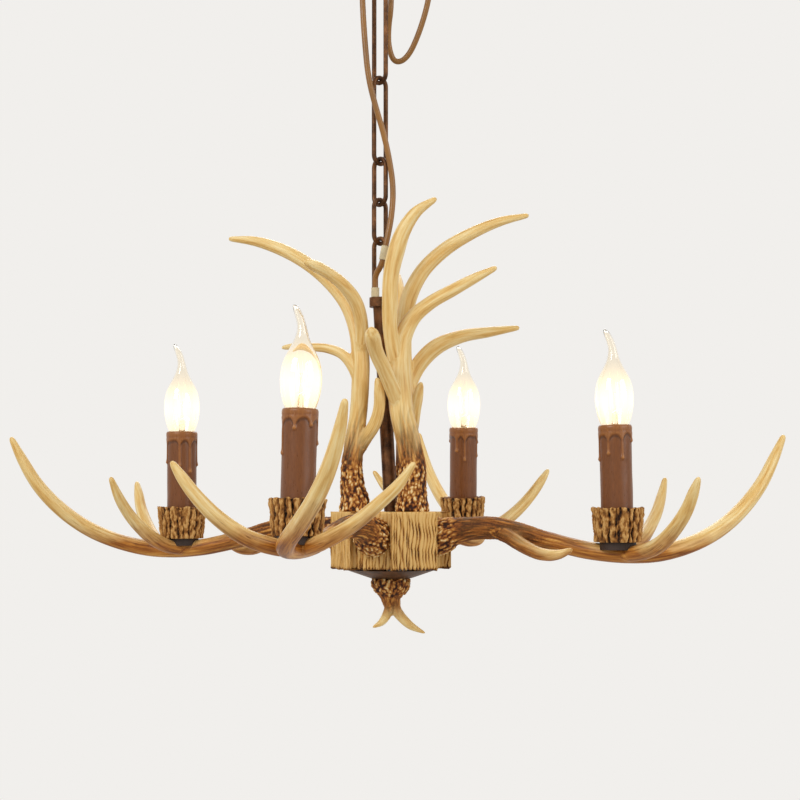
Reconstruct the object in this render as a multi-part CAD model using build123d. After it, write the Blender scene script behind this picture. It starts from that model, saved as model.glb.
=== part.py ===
from build123d import *
import math
import os

# Antler chandelier on a chain: four arm antlers with candles, three upright antlers, a hub block,
# a stem and a finial. Millimetres, +Z up. The origin is where the chain's line meets the ceiling.

# Ceiling plate
bar_length = 110
bar_width = 25
bar_thick = 2.5
bar_slot_spacing = 70
bar_slot_length = 20
bar_slot_half = 2.5
thread_r = 5.0
thread_bore_r = 3.4
thread_clearance = 0.15
nut_half = 8.5
nut_height = 5
canopy_r = 66
canopy_height = 42
canopy_wall = 1.5
canopy_corner = 12
cord_exit_x = 44
block_x = 38
cord_exit_y = 8
grommet_r = 8
grommet_lip = 1.6
ring_nut_r = 14
ring_nut_height = 7
block_length = 26
block_width = 16
block_height = 12

# Chain, from the ceiling down
wire_d = 4.4
link_width = 20
link_gap = 0.3
loop_bottom_z = -98
loop_width = 24
loop_height = 42
link_lengths = [48, 96, 86, 48, 46]
loop_turn = -45

# Stem
stem_top_z = -437
stem_r = 6.5
stem_wall = 1.2
stem_collar_r = 10
stem_collar_height = 9
collar_roof = 3.5
stem_rod_r = 4.9
rod_clearance = 0.2
lean_clearance = 0.6
stem_nut_height = 6
lean_gap = 0.6

# Hub block, a square with a notch at each corner for an arm
hub_x = 10.5
hub_z = -631
hub_turn = 24.3
hub_half = 52
hub_height = 55
hub_top_wall = 8
hub_cavity_r = 41
notch_half = 19.8
notch_floor = 45
frame_plate = 3
frame_leg_x = 22
frame_leg_width = 12
frame_drop = 23
finial_rod_r = 4
finial_hole = 12
finial_nut_across = 13
finial_nut_height = 4
connector_r = 16
connector_height = 9
cover_r = 43
cover_low_r = 20
cover_depth = 8
cover_wall = 1.5
screw_r = 3
screw_head_r = 5
screw_head_height = 4
screw_depth = 14
screw_clearance = 0.1
wire_hole_r = 2
wire_hole_drop = 14.5
wire_depth = 10
lead_r = 1.4

# Candles, from the pedestal's top up
candle_reach = 219
cup_seat_z = -27
cup_r = 24
cup_foot_r = 21
cup_height = 32
cup_floor = 3
cup_bore_r = 17.3
pedestal_r = 16.5
pedestal_height = 7
sleeve_r = 14.5
sleeve_wall = 1.2
sleeve_height = 102
stalk_depth = 9
holder_r = 12.8
holder_height = 34
holder_drop = 8.5
cap_r = 7
cap_height = 22
cap_clearance = 0.3
bulb_gap = 1.2
bulb_height = 94
bulb_neck_r = 9
bulb_r = 17.5
glass_wall = 0.8
candle_foot = 4

# Arms: direction, turn about the root, upward tilt, candle lean (inwards, sideways), degrees
arm_root = (46, 0, -23)
arm_seat_gap = 0.3
arm_wall = notch_floor - hub_cavity_r + 0.4
arms = [(-20.7, 0, 0, 1.5, 0), (69.3, 0, 3.3, 0, 1.5), (159.3, 2.6, 0, 0, 0), (-110.8, 0, 2.6, 0, -0.5)]

# An antler is a list of branches. Each branch is a list of centres with radii, (x, y, z, r).
# Arm antler: x runs outwards from the hub's axis, y to the left of that, z from the hub's top.
arm_branches = [
    [(44, 0, -23, 19), (52, 0, -22, 17.5), (61, 0, -19, 14.2), (76, 0, -16, 12), (100, 0, -15, 11.2),
     (125, 0, -19, 10), (160, 0, -28, 8.8), (candle_reach - 19, 0, -36, 8.2),
     (candle_reach + 9, 1, -38, 8.2), (candle_reach + 33, 5, -37, 8), (candle_reach + 57, 18, -31, 7.6),
     (candle_reach + 81, 39, -18, 7.4), (candle_reach + 101, 61, 2, 7), (candle_reach + 117, 79, 27, 6.2),
     (candle_reach + 127, 90, 51, 5), (candle_reach + 135, 97, 72, 2.6)],
    [(candle_reach + 3, 0, -38, 7), (candle_reach + 22, -10, -36, 7.3), (candle_reach + 42, -26, -29, 7.2),
     (candle_reach + 59, -42, -15, 6.6), (candle_reach + 73, -56, 3, 5.8),
     (candle_reach + 81, -66, 19, 4.6), (candle_reach + 86, -72, 30, 2.4)],
    [(candle_reach - 7, 0, -37, 6.6), (candle_reach + 5, 15, -35, 6.8), (candle_reach + 12, 38, -27, 6.8),
     (candle_reach + 16, 60, -15, 6.2), (candle_reach + 19, 79, -1, 5.6), (candle_reach + 20, 96, 14, 4.7),
     (candle_reach + 21, 110, 32, 2.4)],
    [(98, -1, -15, 8), (118, -10, -22, 7.6), (138, -20, -32, 6.6), (156, -28, -38, 5.8),
     (172, -33, -38, 4.6), (186, -35, -33, 2.2)],
]
# Upright antlers: x, y and z from the centre of the hub's top.
crown_antlers = {
    "crown_antler_left": [
        [(-34, -8, 0.3, 15), (-34, -8, 8, 14), (-36, -8, 22, 12), (-37, -8, 44, 10.5), (-34, -8, 68, 9.5),
         (-31, -8, 91, 8.5), (-29, -7, 120, 8.5), (-29, -4, 148, 8.5), (-33, 2, 173, 7.5), (-42, 8, 197, 7),
         (-59, 14, 220, 7), (-83, 20, 240, 6.5), (-107, 24, 253, 6), (-131, 28, 261, 4.8),
         (-157, 31, 264, 2.4)],
        [(-29, -5, 150, 6), (-28, -16, 178, 6.5), (-33, -26, 196, 6.5), (-44, -38, 210, 6),
         (-60, -50, 221, 5.5), (-72, -60, 226, 5), (-79, -66, 228, 2.5)],
        [(-29, -8, 112, 5), (-35, -6, 134, 5.2), (-46, -2, 149, 5), (-60, 3, 155, 4.5), (-77, 8, 157, 4),
         (-92, 12, 158, 3.4), (-105, 15, 157, 2)],
        [(-34, -7, 52, 6.5), (-24, -14, 69, 6.5), (-15, -20, 83, 6), (-11, -24, 98, 5.5),
         (-11, -27, 113, 5), (-13, -28, 125, 2.5)],
    ],
    "crown_antler_right": [
        [(20, -22, 0.3, 16), (20, -22, 8, 15), (20, -22, 22, 13.5), (20, -22, 44, 13), (16, -21, 67, 12),
         (10, -20, 94, 11.5), (8, -18, 119, 11), (8, -16, 143, 10), (11, -14, 164, 9), (21, -12, 183, 7.5),
         (37, -10, 197, 6.5), (58, -9, 209, 6), (80, -8, 221, 4.8), (100, -7, 231, 2.4)],
        [(8, -16, 124, 7), (2, -22, 151, 7), (-1, -27, 174, 7), (-1, -30, 197, 7.5), (0, -32, 220, 7.5),
         (5, -33, 243, 8), (12, -34, 262, 7), (23, -35, 278, 5.5), (42, -36, 291, 2.5)],
        [(10, -18, 90, 6.5), (2, -29, 112, 7), (-6, -42, 131, 7), (-14, -56, 148, 7), (-17, -68, 160, 7),
         (-18, -76, 166, 4.5)],
    ],
    "crown_antler_back": [
        [(13, 29, 0.3, 14.5), (13, 29, 8, 13.5), (13, 29, 23, 11.5), (14, 29, 45, 10), (14, 30, 69, 9.5),
         (14, 31, 98, 9), (13, 32, 127, 8.5), (12, 33, 156, 8), (13, 34, 184, 8), (18, 34, 209, 8),
         (30, 33, 232, 7.5), (50, 32, 252, 7), (76, 30, 268, 6), (105, 28, 280, 4.6), (133, 26, 286, 2.4)],
        [(13, 32, 96, 7), (17, 36, 120, 7.5), (26, 39, 141, 8), (44, 41, 160, 8), (67, 42, 170, 6.5),
         (97, 42, 175, 5), (125, 41, 179, 2.4)],
        [(14, 28, 56, 6.5), (20, 22, 78, 6.3), (23, 19, 98, 6), (26, 17, 112, 5.2), (29, 16, 124, 2.5)],
        [(12, 33, 156, 6), (11, 48, 182, 6.5), (10, 64, 204, 6), (8, 84, 223, 5.5), (5, 104, 239, 4.2),
         (2, 120, 248, 2.2)],
    ],
}
# Finial: z from the low side of the cover under the hub.
finial_branches = [
    [(0, 0, -0.3, 18), (0, 0, -6, 19), (0, 0, -12, 16.5), (0, 0, -19, 10.5), (1, 0, -26, 8.5),
     (1, 0, -34, 7)],
    [(1, 0, -23, 6.5), (-3, -1, -33, 5), (-9, -2, -42, 3.5), (-18, -3, -47, 1)],
    [(1, 0, -23, 6.5), (8, 1, -35, 5), (18, 2, -45, 4), (33, 3, -53, 1)],
]

# Supply cord: the slack between the ceiling and the chain's first link, then the run down the chain.
cord_r = 2.75
slack_route = [
    (44, 8, -36), (44, 8, -66), (50, 9, -98), (48, 13, -136), (39, 18, -168), (27, 23, -194), (14, 25, -199),
    (8, 22, -184), (8, 17, -166), (10.6, 10.6, -150), (10.6, 10.6, -137.3),
]
cord_route = [
    (10.6, 10.6, -136.5), (10.6, 10.6, -122), (7, 16, -107), (-5, 21, -99), (-18, 11, -107), (-17, -4, -128),
    (-16, -9, -160), (-14, -12, -190), (-11, -14, -222), (-4, -14, -250), (3, -12, -272), (9, -9, -298),
    (13, -8, -326), (11, -10, -354), (6, -12, -378), (2, -11, -398), (-4.4, -5.5, -407), (-4.4, -4.4, -416),
    (-4.4, -4.4, -431),
]
cord_sleeve_spans = [
    ((5.5, -11.9, -380.5), (2.9, -11.2, -393.5)),
    ((-4.4, -4.4, -419), (-4.4, -4.4, -427.8)),
]
cord_sleeve_r = 3.8
cord_sleeve_clearance = 0.5

os.makedirs("parts", exist_ok=True)


def save(name, solids):
    solids = solids if isinstance(solids, list) else [solids]
    export_step(Compound(children=solids) if len(solids) > 1 else solids[0], f"parts/{name}.step")
    print(name, round(sum(s.volume for s in solids)))


def cylinder(radius, low, high, x=0, y=0):
    return Pos(x, y, low) * Cylinder(radius, high - low, align=(Align.CENTER, Align.CENTER, Align.MIN))


def tube(radius, bore, low, high, x=0, y=0):
    return cylinder(radius, low, high, x, y) - cylinder(bore, low, high, x, y)


def block(length, width, low, high, x=0, y=0):
    return Pos(x, y, low) * Box(length, width, high - low, align=(Align.CENTER, Align.CENTER, Align.MIN))


def hexagon(across, low, high, bore):
    corner = across / 2 / math.cos(math.radians(30))
    return extrude(Pos(0, 0, low) * RegularPolygon(corner, 6), high - low) - cylinder(bore, low, high)


def branch(points):
    """A tapering branch: circles square to the line through their centres, lofted smoothly."""
    centres = [Vector(*p[:3]) for p in points]
    sections = []
    for i, centre in enumerate(centres):
        before = centres[max(i - 1, 0)]
        after = centres[min(i + 1, len(centres) - 1)]
        direction = (after - before).normalized()
        if i == 0:
            direction = flat_root(points, direction)
        sections.append(Plane(origin=centre, z_dir=direction) * Circle(points[i][3]))
    return loft(sections)


def flat_root(points, direction):
    """The root end is cut square to the face that it stands on."""
    step = Vector(*points[1][:3]) - Vector(*points[0][:3])
    if points[0][3] < 10:
        return direction
    if abs(step.X) > abs(step.Z):
        return Vector(step.X, 0, 0).normalized()
    return Vector(0, 0, step.Z).normalized()


def antler(branches):
    body = branch(branches[0])
    for points in branches[1:]:
        body = body + branch(points)
    return body


def ring(width, height, centre_z, turn):
    """A chain link or loop: wire round a racetrack, in an upright plane turned about Z."""
    middle_w = width - wire_d
    middle_h = height - wire_d
    straight = middle_h - middle_w
    side = Cylinder(wire_d / 2, straight)
    bend = Torus(middle_w / 2, wire_d / 2)
    half = Box(width * 2, width * 2, width * 2, align=(Align.CENTER, Align.CENTER, Align.MIN))
    upright = Rot(90, 0, 0) * bend
    top = Pos(0, 0, straight / 2) * (upright & half)
    low = Pos(0, 0, -straight / 2) * (upright - half)
    link = top + low + Pos(middle_w / 2, 0, 0) * side + Pos(-middle_w / 2, 0, 0) * side
    return Pos(0, 0, centre_z) * Rot(0, 0, turn) * link


def cord_tube(points, radius):
    """Straight runs joined by arcs as large as the runs allow."""
    spots = [Vector(*p) for p in points]
    radii = []
    for a, b, c in zip(spots, spots[1:], spots[2:]):
        turn = (b - a).get_angle(c - b)
        radii.append(0.45 * min((b - a).length, (c - b).length) / math.tan(math.radians(turn / 2)))
    path = FilletPolyline(*spots, radius=radii)
    start = Plane(origin=spots[0], z_dir=spots[1] - spots[0])
    body = sweep(start * Circle(radius), path=path)
    print("cord length", round(path.length), "least radius", round(min(radii), 1))
    print("cord volume share", round(body.volume / (path.length * math.pi * radius**2), 3))
    return body


# Ceiling plate, canopy and loop
canopy_low = -canopy_height
loop_top_z = loop_bottom_z - wire_d / 2 + loop_height
neck_low = loop_top_z - wire_d
bar = block(bar_length, bar_width, -bar_thick, 0) - cylinder(thread_r + thread_clearance, -bar_thick, 0)
for side in (-1, 1):
    slot = SlotOverall(bar_slot_length, bar_slot_half * 2)
    bar -= extrude(Pos(side * bar_slot_spacing / 2, 0, -bar_thick) * slot, bar_thick)
save("ceiling_bar", bar)
loop_neck_top = canopy_low - ring_nut_height
nipple_low = loop_neck_top - 3
save("bar_nipple", tube(thread_r, thread_bore_r, nipple_low, -0.2))
bar_nut_low = -bar_thick - nut_height
save("nipple_lock_nut", hexagon(nut_half * 2, bar_nut_low, -bar_thick, thread_r + thread_clearance))


def canopy_profile(radius, height, corner):
    """Half section of a shallow dish, from its rim to its flat underside."""
    rim = (radius, 0)
    wall_end = (radius, -height + corner)
    flat_end = (radius - corner, -height)
    turn = RadiusArc(wall_end, flat_end, corner)
    side = [Line((0, 0), rim), Line(rim, wall_end)]
    flat = [Line(flat_end, (0, -height)), Line((0, -height), (0, 0))]
    return Plane.XZ * make_face([*side, turn, *flat])


outer = revolve(canopy_profile(canopy_r, canopy_height, canopy_corner), Axis.Z)
inner_height = canopy_height - canopy_wall
inner = revolve(canopy_profile(canopy_r - canopy_wall, inner_height, canopy_corner - canopy_wall), Axis.Z)
canopy = outer - inner - cylinder(thread_r + 0.4, canopy_low - 1, canopy_low + canopy_wall + 1)
grommet_neck = grommet_r - grommet_lip
canopy -= cylinder(grommet_neck, canopy_low - 1, canopy_low + canopy_wall + 1, cord_exit_x, cord_exit_y)
save("canopy", canopy)
ring_nut = cylinder(ring_nut_r, loop_neck_top, canopy_low)
ring_nut -= cylinder(thread_r + thread_clearance, loop_neck_top, 0)
save("canopy_ring_nut", chamfer(ring_nut.edges().group_by(Axis.Z)[0], 1.5))
grommet = tube(grommet_r, cord_r + 0.2, canopy_low - 2, canopy_low, cord_exit_x, cord_exit_y)
grommet += tube(grommet_neck, cord_r + 0.2, canopy_low, canopy_low + canopy_wall, cord_exit_x, cord_exit_y)
grommet_top = canopy_low + canopy_wall
grommet += tube(grommet_r, cord_r + 0.2, grommet_top, grommet_top + 2, cord_exit_x, cord_exit_y)
save("cord_grommet", grommet)
loop_centre_z = loop_bottom_z - wire_d / 2 + loop_height / 2
ceiling_loop = ring(loop_width, loop_height, loop_centre_z, loop_turn) + cylinder(8, neck_low, loop_neck_top)
ceiling_loop -= cylinder(thread_r + thread_clearance, nipple_low, loop_neck_top)
save("ceiling_loop", ceiling_loop)
block_z = slack_route[0][2]
terminal = block(block_length, block_width, block_z, block_z + block_height, block_x, cord_exit_y)
screws = [cylinder(2, block_z + block_height, block_z + block_height + 1.2, block_x + dx, cord_exit_y)
          for dx in (-8, 0, 8)]
save("ceiling_terminal_block", terminal + screws[0] + screws[1] + screws[2])

# Chain
turn = loop_turn + 90
wire_z = loop_bottom_z
links = []
for length in link_lengths:
    top_wire = wire_z + wire_d + link_gap
    wire_z = top_wire - (length - wire_d)
    links.append(ring(link_width, length, (top_wire + wire_z) / 2, turn))
    print("link from", round(top_wire + wire_d / 2, 1), "to", round(wire_z - wire_d / 2, 1))
    turn += 90
save("chain_link_1", links[0])
save("chain_links", links[1:])

# Stem: loop, tube and the hollow threaded rod inside, leaning from the chain's line to the hub's centre
collar_top = stem_top_z + stem_collar_height
stem_loop_top = wire_z + wire_d + link_gap + wire_d / 2
stem_loop_height = stem_loop_top - collar_top + wire_d
stem_loop = ring(link_width, stem_loop_height, stem_loop_top - stem_loop_height / 2, turn)
stem_loop += cylinder(stem_collar_r, stem_top_z, collar_top)
stem_loop -= cylinder(stem_rod_r + lean_clearance, stem_top_z, collar_top - collar_roof)
cord_end = cord_route[-1]
stem_loop -= cylinder(cord_r + rod_clearance, collar_top - collar_roof, collar_top, cord_end[0], cord_end[1])
save("stem_loop", stem_loop)
stem_length = stem_top_z - hub_z
lean = math.degrees(math.atan2(hub_x, stem_length))
slope = math.hypot(stem_length, hub_x)
leaning = Pos(0, 0, stem_top_z) * Rot(0, -lean, 0)
stem_tube = leaning * tube(stem_r, stem_r - stem_wall, -slope - 5, 5)
stem_tube &= block(200, 200, hub_z, stem_top_z)
save("stem_tube", stem_tube)
frame_low = -hub_top_wall - frame_plate
rod_end = -slope + frame_low - stem_nut_height - 3
rod_top = collar_top - collar_roof - stem_top_z - 0.5
save("stem_rod", leaning * tube(stem_rod_r, thread_bore_r, rod_end, rod_top))
nut_top = -slope + frame_low - lean_gap
nut_low = nut_top - stem_nut_height
save("stem_nut", leaning * hexagon(nut_half * 2, nut_low, nut_top, stem_rod_r + thread_clearance))

# Hub: block, steel frame inside, cover below, and what hangs from it
hub = Pos(hub_x, 0, hub_z)
crown_bases = [(branches[0][0][0], branches[0][0][1]) for branches in crown_antlers.values()]
rod_pass_r = stem_rod_r + 1
root_x, root_y, root_z = arm_root
wire_hole_z = root_z - wire_hole_drop
body = Rot(0, 0, hub_turn) * block(hub_half * 2, hub_half * 2, -hub_height, 0)
for direction, turn_in, tilt, inwards, sideways in arms:
    notch = block(hub_half, notch_half * 2, -hub_height, 0, notch_floor + hub_half / 2)
    screw_hole = Pos(0, 0, root_z) * Rot(0, 90, 0) * cylinder(screw_r + screw_clearance, 0, hub_half)
    wire_hole = Pos(0, 0, wire_hole_z) * Rot(0, 90, 0) * cylinder(wire_hole_r, 0, hub_half)
    body -= Rot(0, 0, direction) * (notch + screw_hole + wire_hole)
body -= cylinder(hub_cavity_r, -hub_height, -hub_top_wall)
body -= cylinder(rod_pass_r, -hub_top_wall, 0)
for x, y in crown_bases:
    body -= cylinder(screw_r + screw_clearance, -hub_top_wall, 0, x, y)
save("hub_body", hub * body)
strap_low = frame_low - frame_drop
plate = tube(hub_cavity_r - 0.5, rod_pass_r, frame_low, -hub_top_wall)
for x, y in crown_bases:
    plate -= cylinder(screw_r + screw_clearance, frame_low, -hub_top_wall, x, y)
for side in (-1, 1):
    plate += block(frame_plate, frame_leg_width, strap_low, frame_low, side * frame_leg_x)
strap = block(frame_leg_x * 2 + frame_plate, frame_leg_width, strap_low, strap_low + frame_plate)
plate += strap - cylinder(finial_rod_r + thread_clearance, strap_low, strap_low + frame_plate)
save("hub_frame", hub * plate)
connector_top = strap_low - 0.2
connector = tube(connector_r, finial_rod_r + 1, connector_top - connector_height, connector_top)
for i in range(8):
    angle = math.radians(45 * i + 22.5)
    screw_x = 11 * math.cos(angle)
    screw_y = 11 * math.sin(angle)
    connector_low = connector_top - connector_height
    connector += cylinder(2, connector_low - 1, connector_low, screw_x, screw_y)
save("hub_terminal_block", hub * connector)


def cover_profile(shrink):
    """Half section of the shallow spun cover under the hub."""
    low = -hub_height - cover_depth + shrink
    points = [(0, -hub_height), (cover_r - shrink, -hub_height), (cover_low_r - shrink / 2, low), (0, low)]
    return Plane.XZ * make_face(Polyline(*points, close=True))


cover = revolve(cover_profile(0), Axis.Z) - revolve(cover_profile(cover_wall), Axis.Z)
cover_low = -hub_height - cover_depth
cover -= cylinder(finial_rod_r + rod_clearance, cover_low, cover_low + cover_wall)
save("hub_cover", hub * cover)
finial_hole_low = cover_low - finial_hole
finial = Pos(0, 0, cover_low) * antler(finial_branches)
finial -= cylinder(finial_rod_r + thread_clearance, finial_hole_low, cover_low)
save("finial", hub * finial)
finial_nut_low = strap_low + frame_plate
finial_nut_top = finial_nut_low + finial_nut_height
finial_nut = hexagon(finial_nut_across, finial_nut_low, finial_nut_top, finial_rod_r + thread_clearance)
save("finial_nut", hub * finial_nut)
save("finial_rod", hub * cylinder(finial_rod_r, finial_hole_low + 0.5, finial_nut_top + 2))

# Upright antlers, each on one screw up through the hub's top
crown_screws = []
for name, branches in crown_antlers.items():
    x, y = branches[0][0][0], branches[0][0][1]
    upright = antler(branches) - cylinder(screw_r + screw_clearance, 0, screw_depth + 1, x, y)
    save(name, hub * upright)
    screw = cylinder(screw_r, frame_low, screw_depth, x, y)
    screw += cylinder(screw_head_r, frame_low - screw_head_height, frame_low, x, y)
    crown_screws.append(hub * screw)
save("crown_screws", crown_screws)

# Arms and candles: one arm made once, then turned and tilted into its notch
seat_z = cup_seat_z
arm = antler(arm_branches)
screw_hole_end = notch_floor + screw_depth
arm_screw_hole = Pos(0, 0, root_z) * Rot(0, 90, 0) * cylinder(screw_r + screw_clearance, 0, screw_hole_end)
wire_hole_end = notch_floor + wire_depth
arm_wire_hole = Pos(0, 0, wire_hole_z) * Rot(0, 90, 0) * cylinder(wire_hole_r, 0, wire_hole_end)
stalk_low = seat_z - stalk_depth
blank = arm - cylinder(stem_rod_r + lean_clearance, stalk_low, seat_z, candle_reach)
face = Pos(notch_floor - 20 + arm_seat_gap, 0, root_z) * Box(40, 80, 80)

arm_below = Pos(-candle_reach, 0, -seat_z) * blank
cup = Cone(cup_foot_r, cup_r, cup_height, align=(Align.CENTER, Align.CENTER, Align.MIN))
cup -= cylinder(cup_bore_r, cup_floor, cup_height)
cup -= cylinder(stem_rod_r + lean_clearance, 0, cup_floor)
cup -= arm_below
pedestal = tube(pedestal_r, stem_rod_r + lean_clearance, -pedestal_height, 0) - arm_below
pedestal = max(pedestal.solids(), key=lambda s: s.bounding_box().max.Z + s.volume / 1e6)
sleeve_low = cup_floor + lean_gap
sleeve = tube(sleeve_r, sleeve_r - sleeve_wall, sleeve_low, sleeve_low + sleeve_height)
holder_top = sleeve_low + sleeve_height - holder_drop
holder_low = holder_top - holder_height
cap_low = holder_top - cap_height
holder = cylinder(holder_r, holder_low, holder_top)
holder -= cylinder(cap_r + cap_clearance, cap_low - 1, holder_top)
holder -= cylinder(stem_rod_r + thread_clearance, holder_low, holder_low + 7)
stalk = tube(stem_rod_r, thread_bore_r, -stalk_depth + 0.5, holder_low + 6.5)
bulb_low = holder_top + bulb_gap
bulb_top = bulb_low + bulb_height


def bulb_outline(shrink):
    """Half section of a flame-shaped bulb, up to where its tip starts to bend."""
    rise = bulb_height / 92
    radii = [(bulb_neck_r, 0), (bulb_neck_r + 3.4, 6), (bulb_r - 1.3, 19), (bulb_r, 32), (bulb_r - 2, 45),
             (bulb_r - 8.5, 60), (4.6, 70), (3.2, 77)]
    side = Spline(*[(r - shrink, bulb_low + shrink + z * rise) for r, z in radii])
    low = Line((0, bulb_low + shrink), side @ 0)
    high = Line(side @ 1, (0, (side @ 1).Y))
    back = Line(high @ 1, (0, bulb_low + shrink))
    return Plane.XZ * make_face([low, side, high, back])


envelope = revolve(bulb_outline(0), Axis.Z)
tip_z = bulb_top - 15
tip_points = [(0, 0, tip_z - 4, 3), (-0.3, 0, tip_z + 2, 3), (-2, 0, tip_z + 9, 2.7),
              (-5, 0, tip_z + 14, 2.2)]
envelope += branch(tip_points)
glass = envelope - revolve(bulb_outline(glass_wall), Axis.Z)
cap = cylinder(cap_r, cap_low, bulb_low - 0.2) + cylinder(2.5, cap_low - 0.6, cap_low)
mount = cylinder(2.6, bulb_low + glass_wall + 0.2, bulb_low + 18)
mount += cylinder(0.35, bulb_low + 17, bulb_low + 43, -2) + cylinder(0.35, bulb_low + 17, bulb_low + 43, 2)
mount += Pos(0, 0, bulb_low + 43) * Rot(0, 90, 0) * Cylinder(0.35, 4.7)

arm_screws = []
arm_wires = []
pedestals = []
stalks = []
for number, (direction, turn_in, tilt, inwards, sideways) in enumerate(arms, start=1):
    swing = hub * Rot(0, 0, direction)
    tilted = Pos(*arm_root) * Rot(0, -tilt, turn_in) * Pos(-root_x, -root_y, -root_z)
    in_place = tilted * blank - face - arm_screw_hole - arm_wire_hole
    save(f"arm_antler_{number}", swing * in_place)
    screw = cylinder(screw_r, -arm_wall, screw_depth - 1)
    screw += cylinder(screw_head_r, -screw_head_height - arm_wall, -arm_wall)
    arm_screws.append(swing * Pos(notch_floor, 0, root_z) * Rot(0, 90, 0) * screw)
    lead = cylinder(lead_r, connector_r, wire_hole_end - 1)
    arm_wires.append(swing * Pos(0, 0, wire_hole_z) * Rot(0, 90, 0) * lead)
    upright = swing * tilted * Pos(candle_reach, 0, seat_z)
    candle = upright * Pos(0, 0, candle_foot) * Rot(sideways, -inwards, 0) * Pos(0, 0, -candle_foot)
    pedestals.append(upright * pedestal)
    stalks.append(candle * stalk)
    save(f"candle_cup_{number}", upright * cup)
    save(f"candle_sleeve_{number}", candle * sleeve)
    save(f"lamp_holder_{number}", candle * holder)
    # every bulb's tip bends the same way
    turned = candle * Rot(0, 0, -direction)
    save(f"bulb_glass_{number}", turned * glass)
    save(f"bulb_cap_{number}", turned * cap)
    save(f"bulb_filament_{number}", turned * mount)
    up = (candle * Vertex(0, 0, 1)).center() - (candle * Vertex(0, 0, 0)).center()
    foot = (candle * Vertex(0, 0, bulb_low)).center()
    print("candle", number, "axis", [round(v, 5) for v in up], "foot", [round(v, 2) for v in foot])
save("arm_screws", arm_screws)
save("arm_wires", arm_wires)
save("cup_pedestals", pedestals)
save("holder_stalks", stalks)

# Supply cord
save("cord_slack", cord_tube(slack_route, cord_r))
run = cord_tube(cord_route, cord_r)
save("supply_cord", run)
sleeves = []
for top, low in cord_sleeve_spans:
    start = Vector(*top)
    length = (Vector(*low) - start).length
    along = Plane(origin=start, z_dir=Vector(*low) - start)
    sleeves.append(along * tube(cord_sleeve_r, cord_r + cord_sleeve_clearance, 0, length))
save("cord_sleeves", sleeves)
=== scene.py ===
import math
from functools import partial
import bpy
import numpy as np
from mathutils import Matrix, Vector, noise


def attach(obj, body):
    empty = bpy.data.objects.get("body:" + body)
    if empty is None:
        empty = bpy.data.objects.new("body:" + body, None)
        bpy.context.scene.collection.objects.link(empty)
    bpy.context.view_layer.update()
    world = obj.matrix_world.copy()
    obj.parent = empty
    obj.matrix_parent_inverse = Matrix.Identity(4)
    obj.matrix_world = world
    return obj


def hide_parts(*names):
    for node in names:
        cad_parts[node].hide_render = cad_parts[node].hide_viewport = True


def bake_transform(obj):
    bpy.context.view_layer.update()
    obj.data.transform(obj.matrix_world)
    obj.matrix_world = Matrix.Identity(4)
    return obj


# Antler chandelier. Settings are in millimetres and degrees, and meshes in metres.
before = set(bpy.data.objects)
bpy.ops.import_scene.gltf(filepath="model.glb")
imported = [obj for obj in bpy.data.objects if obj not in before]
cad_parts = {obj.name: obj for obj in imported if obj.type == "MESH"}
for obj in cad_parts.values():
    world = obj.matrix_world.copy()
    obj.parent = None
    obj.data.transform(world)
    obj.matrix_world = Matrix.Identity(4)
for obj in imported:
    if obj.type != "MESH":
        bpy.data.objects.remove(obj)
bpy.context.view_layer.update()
print("frame loaded")


def toLinear(hexColour):
    parts = [int(hexColour[i:i + 2], 16) / 255 for i in (1, 3, 5)]
    return tuple(p / 12.92 if p <= 0.04045 else ((p + 0.055) / 1.055) ** 2.4 for p in parts) + (1.0,)


def feed(node, values):
    # sets or links a node's inputs, where a node given as a value stands for its first live output
    for socket, value in values.items():
        if isinstance(value, bpy.types.Node):
            value = next(output for output in value.outputs if output.enabled)
        if isinstance(value, bpy.types.NodeSocket):
            node.id_data.links.new(value, node.inputs[socket])
        else:
            node.inputs[socket].default_value = value


def addNode(tree, kind, values=None, stops=(), **settings):
    # adds one node with its settings, its colour stops and its inputs; a Mix node's colours are inputs 6 and 7
    node = tree.nodes.new(kind)
    for key, value in settings.items():
        setattr(node, key, value)
    if stops:
        marks = node.color_ramp.elements
        while len(marks) < len(stops):
            marks.new(0.5)
        for mark, (place, colour) in zip(marks, stops):
            mark.position = place
            mark.color = toLinear(colour)
    feed(node, values or {})
    return node


def newMaterial(name, constants):
    material = bpy.data.materials.new(name)
    material.use_nodes = True
    shader = material.node_tree.nodes["Principled BSDF"]
    feed(shader, constants)
    return material, partial(addNode, material.node_tree), shader


def placePattern(add, perMetre=(1000, 1000, 1000)):
    # object coordinates in millimetres, or squeezed along an axis
    where = add("ShaderNodeTexCoord").outputs["Object"]
    return add("ShaderNodeMapping", {"Vector": where, "Scale": perMetre})


def newShapeTree(name, inputs):
    # an empty Geometry Nodes tree with named inputs, each with its kind and what it starts from
    tree = bpy.data.node_groups.new(name, "GeometryNodeTree")
    tree.interface.new_socket("Geometry", in_out="INPUT", socket_type="NodeSocketGeometry")
    for label, (kind, start) in inputs.items():
        socket = tree.interface.new_socket(label, in_out="INPUT", socket_type="NodeSocket" + kind)
        if start is not None:
            socket.default_value = start
    tree.interface.new_socket("Geometry", in_out="OUTPUT", socket_type="NodeSocketGeometry")
    add = partial(addNode, tree)
    return tree, add, add("NodeGroupInput").outputs


def endShapeTree(add, geometry, finish):
    real = add("GeometryNodeRealizeInstances", {"Geometry": geometry})
    done = add("GeometryNodeSetMaterial", {"Geometry": real, "Material": finish})
    add("NodeGroupOutput", {"Geometry": done})


def makePiece(name, points, faces, body, place=Matrix.Identity(4), material=None):
    mesh = bpy.data.meshes.new(name)
    mesh.from_pydata([tuple(p) for p in points], [], faces)
    mesh.transform(Matrix.Scale(0.001, 4) @ place)
    mesh.update()
    return makeObject(name, mesh, body, material)


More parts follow.
